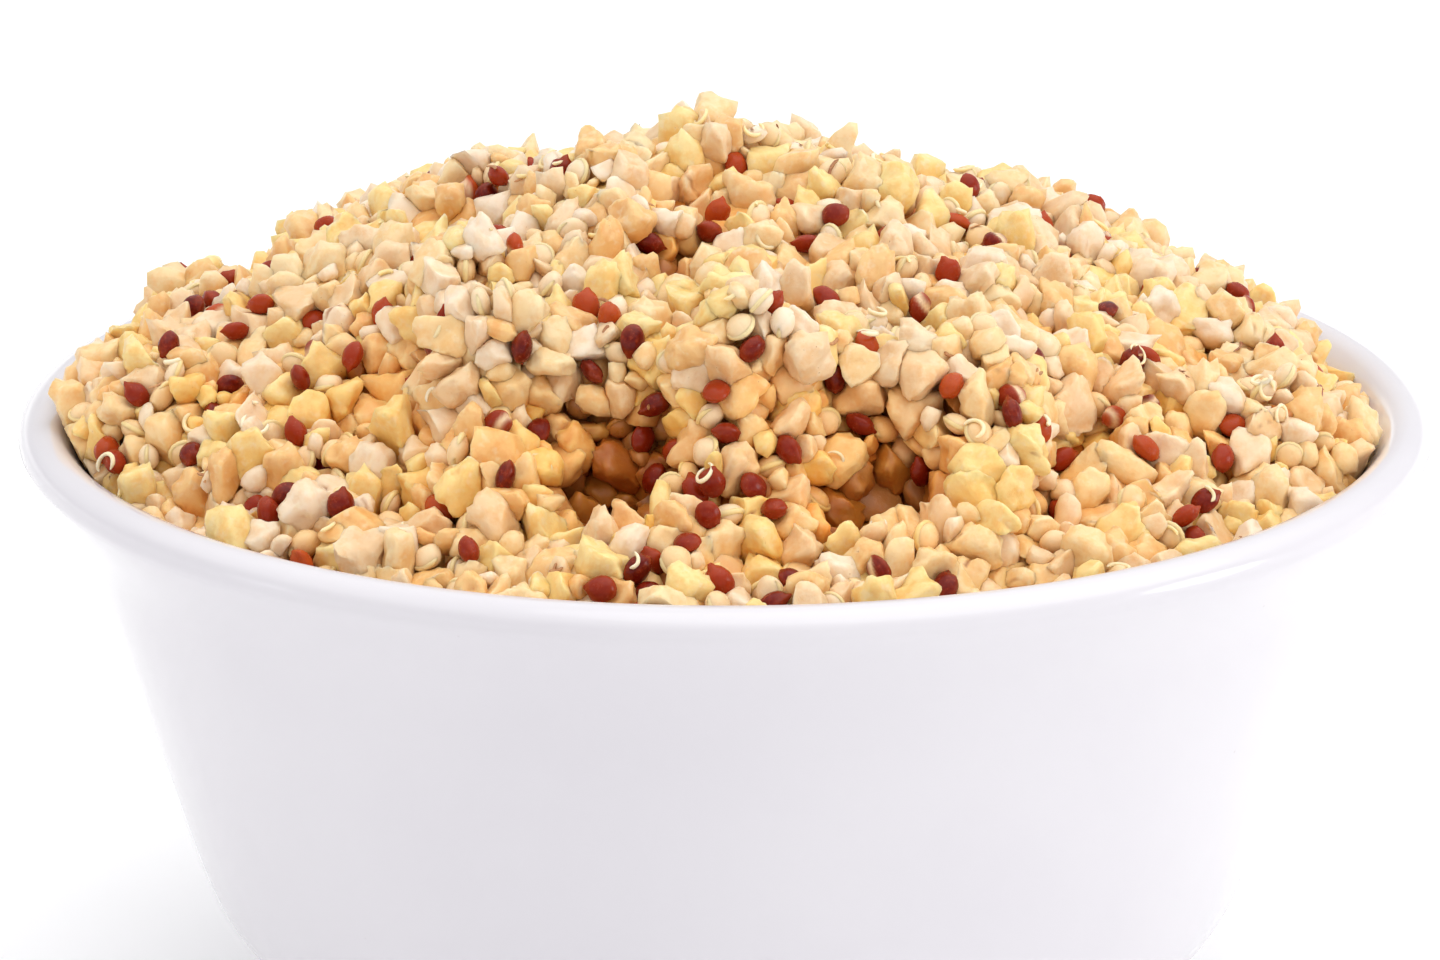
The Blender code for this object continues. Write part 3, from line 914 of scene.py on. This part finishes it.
def make_core(outline):
    """The smaller heap under the grains, with a relief like theirs, filling the bowl below."""
    _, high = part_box("quinoa_heap")
    reach = high[0] / MM - 3.0
    heights, middle = core_heights(outline, high[0] / MM)
    side = CORE_GRID + 1
    points, faces = [], []
    for i in range(side):
        for j in range(side):
            u, v = 2.0 * i / CORE_GRID - 1.0, 2.0 * j / CORE_GRID - 1.0
            radius, angle = max(abs(u), abs(v)) * reach, math.atan2(v, u)
            x, y = radius * math.cos(angle), radius * math.sin(angle)
            a, b = int(x + middle), int(y + middle)
            s, t = x + middle - a, y + middle - b
            low = heights[a, b] * (1 - t) + heights[a, b + 1] * t
            high = heights[a + 1, b] * (1 - t) + heights[a + 1, b + 1] * t
            z = low * (1 - s) + high * s
            relief = noise.noise(Vector((x, y, z)) / 1.7) * 0.8 + noise.noise(Vector((x, y, z)) / 3.5) * 0.8
            points.append((x, y, z + relief))
    for i in range(CORE_GRID):
        for j in range(CORE_GRID):
            faces.append([i * side + j, (i + 1) * side + j, (i + 1) * side + j + 1, i * side + j + 1])
    border = ([i * side for i in range(CORE_GRID)] + [CORE_GRID * side + j for j in range(CORE_GRID)]
              + [i * side + CORE_GRID for i in range(CORE_GRID, 0, -1)] + list(range(CORE_GRID, 0, -1)))
    count = len(border)
    above = border
    for height in CORE_HEIGHTS:
        below = list(range(len(points), len(points) + count))
        for number in border:
            out = Vector((points[number][0], points[number][1], 0.0)).normalized()
            radius = outline.sides.ray_cast(Vector((0.0, 0.0, height)), out)[3] - CORE_CLEAR
            points.append((out.x * radius, out.y * radius, height))
        faces.extend([above[k], below[k], below[(k + 1) % count], above[(k + 1) % count]]
                     for k in range(count))
        above = below
    faces.append(above)
    mesh = bpy.data.meshes.new("heap_core")
    mesh.from_pydata((np.array(points) * MM).tolist(), [], faces)
    mesh.shade_smooth()
    mesh.materials.append(core_material())
    core = bpy.data.objects.new("heap_core", mesh)
    bpy.context.scene.collection.objects.link(core)
    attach(core, "root")
    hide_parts("quinoa_heap")
    return core


# ---- The bowl ---------------------------------------------------------------------------------------


def cad_outline(node):
    """The turned node's closed outline, read from the CAD points on the +X side: (radius, height)."""
    mesh = node.data
    on_side = {}
    for vert in mesh.vertices:
        if abs(vert.co.y) < 1e-6 and vert.co.x > -1e-6:
            on_side[vert.index] = (round(vert.co.x / MM, 3), round(vert.co.z / MM, 3))
    links = {}
    for edge in mesh.edges:
        a, b = edge.vertices
        if a in on_side and b in on_side and on_side[a] != on_side[b]:
            links.setdefault(on_side[a], set()).add(on_side[b])
            links.setdefault(on_side[b], set()).add(on_side[a])
    ends = sorted((point for point in links if len(links[point]) == 1), key=lambda point: point[1])
    path = [ends[0]]
    while path[-1] != ends[-1]:
        path.append(next(point for point in links[path[-1]] if point not in path))
    return [(0.0, ends[0][1])] + path + [(0.0, ends[-1][1])]


def smooth_outline(path):
    """The outline with points put in along a smooth curve, and its wall's bends eased.

    The foot's corners and the lip stay as they are.
    """
    made = []
    for k in range(len(path) - 1):
        made.append(path[k])
        before, after = path[max(0, k - 1)], path[min(len(path) - 1, k + 2)]
        first, second = path[k], path[k + 1]
        if min(first[1], second[1]) < SHARP_BELOW or first[0] < 0.01 or second[0] < 0.01:
            continue
        steps = max(1, round(math.dist(first, second) / OUTLINE_STEP))
        for step in range(1, steps):
            t = step / steps
            made.append(tuple(0.5 * (2 * q + (r - p) * t + (2 * p - 5 * q + 4 * r - s) * t * t
                                     + (3 * q - p - 3 * r + s) * t ** 3)
                              for p, q, r, s in zip(before, first, second, after)))
    made.append(path[-1])
    top = max(z for _, z in made)
    line = np.array(made)
    over_foot = np.clip((line[:, 1] - SHARP_BELOW) / EASED_IN, 0.0, 1.0)
    under_lip = np.clip((top - LIP_KEPT - line[:, 1]) / EASED_IN, 0.0, 1.0)
    ease = over_foot * under_lip
    for _ in range(EASINGS):
        line[1:-1] += (ease[1:-1] * 0.5)[:, None] * ((line[:-2] + line[2:]) / 2.0 - line[1:-1])
    return line.tolist()


def make_bowl():
    path = smooth_outline(cad_outline(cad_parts["bowl"]))
    mesh = bpy.data.meshes.new("white_bowl")
    mesh.from_pydata([(r * MM, 0.0, z * MM) for r, z in path], [(k, k + 1) for k in range(len(path) - 1)], [])
    bowl = bpy.data.objects.new("white_bowl", mesh)
    bpy.context.scene.collection.objects.link(bowl)
    turn = bowl.modifiers.new("turn", "SCREW")
    turn.angle = math.tau
    turn.steps = BOWL_TURN_STEPS
    turn.render_steps = BOWL_TURN_STEPS
    turn.use_merge_vertices = True
    turn.merge_threshold = 0.00001
    turn.use_smooth_shade = True
    mesh.materials.append(glaze_material())
    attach(bowl, "root")
    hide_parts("bowl")
    return bowl


# ---- Studio -----------------------------------------------------------------------------------------


def make_camera():
    """Level with the front of the bowl and a little above it, close enough that the foot is cut off."""
    distance, elevation, tilt, aside, lens = 0.37415, 16.07, 17.437, 0.072, 100.0
    _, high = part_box("bowl")
    data = bpy.data.cameras.new("camera")
    data.lens = lens
    data.sensor_width = 36.0
    camera = bpy.data.objects.new("camera", data)
    bpy.context.scene.collection.objects.link(camera)
    angle = math.radians(elevation)
    camera.location = (0.0, -distance * math.cos(angle), high[2] + distance * math.sin(angle))
    camera.rotation_euler = (math.radians(90.0 - tilt), 0.0, math.radians(aside))
    bpy.context.scene.camera = camera


def area_light(name, place, target, size, power, colour):
    data = bpy.data.lights.new(name, "AREA")
    data.shape = "DISK"
    data.size = size
    data.energy = power
    data.color = colour
    light = bpy.data.objects.new(name, data)
    light.location = place
    light.rotation_euler = (Vector(target) - Vector(place)).to_track_quat("-Z", "Y").to_euler()
    bpy.context.scene.collection.objects.link(light)


def make_studio():
    mesh = bpy.data.meshes.new("studio_floor")
    reach = 6.0
    mesh.from_pydata([(-reach, -reach, 0), (reach, -reach, 0), (reach, reach, 0), (-reach, reach, 0)], [],
                     [(0, 1, 2, 3)])
    mesh.materials.append(floor_material())
    floor = bpy.data.objects.new("studio_floor", mesh)
    bpy.context.scene.collection.objects.link(floor)

    world = bpy.data.worlds.new("studio")
    world.use_nodes = True
    tree = world.node_tree
    parts = tree.nodes.new("ShaderNodeSeparateXYZ")
    tree.links.new(tree.nodes.new("ShaderNodeTexCoord").outputs["Generated"], parts.inputs["Vector"])
    sky = ramp(tree, parts.outputs["Z"], SKY)
    tree.links.new(sky, tree.nodes["Background"].inputs["Color"])
    tree.nodes["Background"].inputs["Strength"].default_value = SKY_STRENGTH
    bpy.context.scene.world = world
    bpy.context.scene.view_settings.view_transform = "Standard"
    bpy.context.scene.view_settings.look = "None"

    middle = (0.0, 0.0, 0.07)
    area_light("overhead", (0.20, -0.06, 0.70), middle, 0.90, 1.6, (1.0, 0.985, 0.965))
    area_light("right", (0.80, -0.20, 0.20), middle, 0.34, 1.30, (1.0, 1.0, 1.0))
    area_light("left", (-0.78, -0.25, 0.16), middle, 0.20, 0.10, (0.98, 0.98, 1.0))


make_camera()
make_studio()
make_bowl()
outline = Outline(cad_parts["quinoa_heap"])
core = make_core(outline)
grains = make_grains(outline, core)
make_loose_bits(outline, grains)
